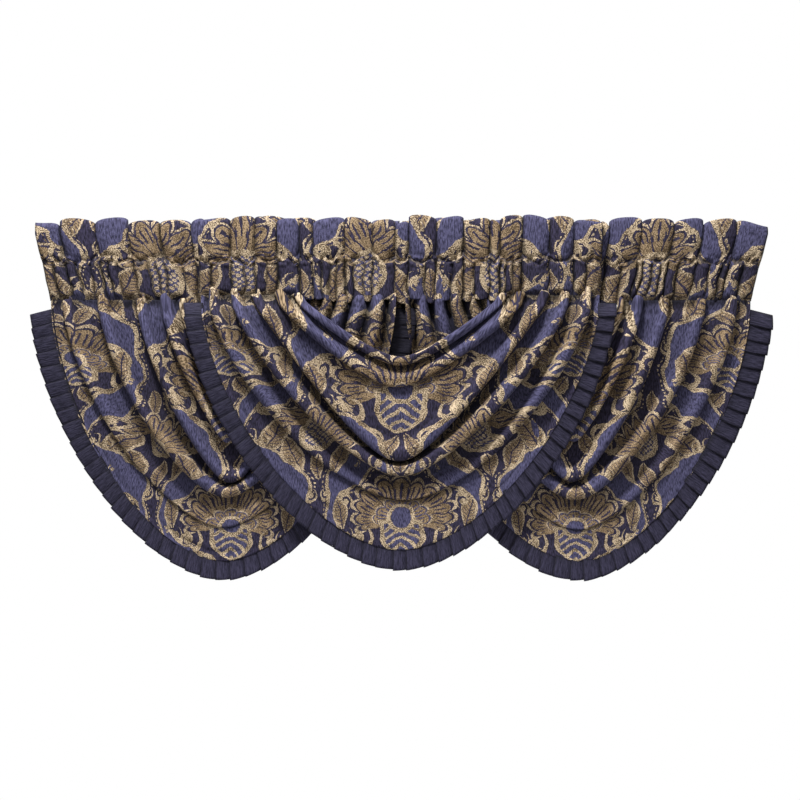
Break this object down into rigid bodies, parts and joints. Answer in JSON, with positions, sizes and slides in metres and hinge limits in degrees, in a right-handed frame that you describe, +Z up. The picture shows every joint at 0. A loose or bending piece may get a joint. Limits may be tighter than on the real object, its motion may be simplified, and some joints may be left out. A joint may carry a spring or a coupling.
{
  "type": "overlapping waterfall swag valance set",
  "caption": "Overlapping waterfall swag valances of damask cloth, each with a rod-pocket heading, cowl folds and a knife-pleated hem trim.",
  "frame": {"origin": "middle of the set's top edge, between the front and back rod pockets", "axes": "+X to the right along the rods, +Z up, -Y out of the front"},
  "size_m": [1.8631, 0.099, 0.9089],
  "materials": {
    "damask": "woven jacquard damask, navy and periwinkle with old gold motifs",
    "trim": "plain navy cloth with a fine crosswise crinkle, knife pleated"
  },
  "bodies": {
    "root": {"heading_left": "damask", "heading_centre": "damask", "heading_right": "damask", "swag_left": "damask", "swag_centre": "damask", "swag_right": "damask", "trim_left": "trim", "trim_centre": "trim", "trim_right": "trim"}
  },
  "joints": []
}
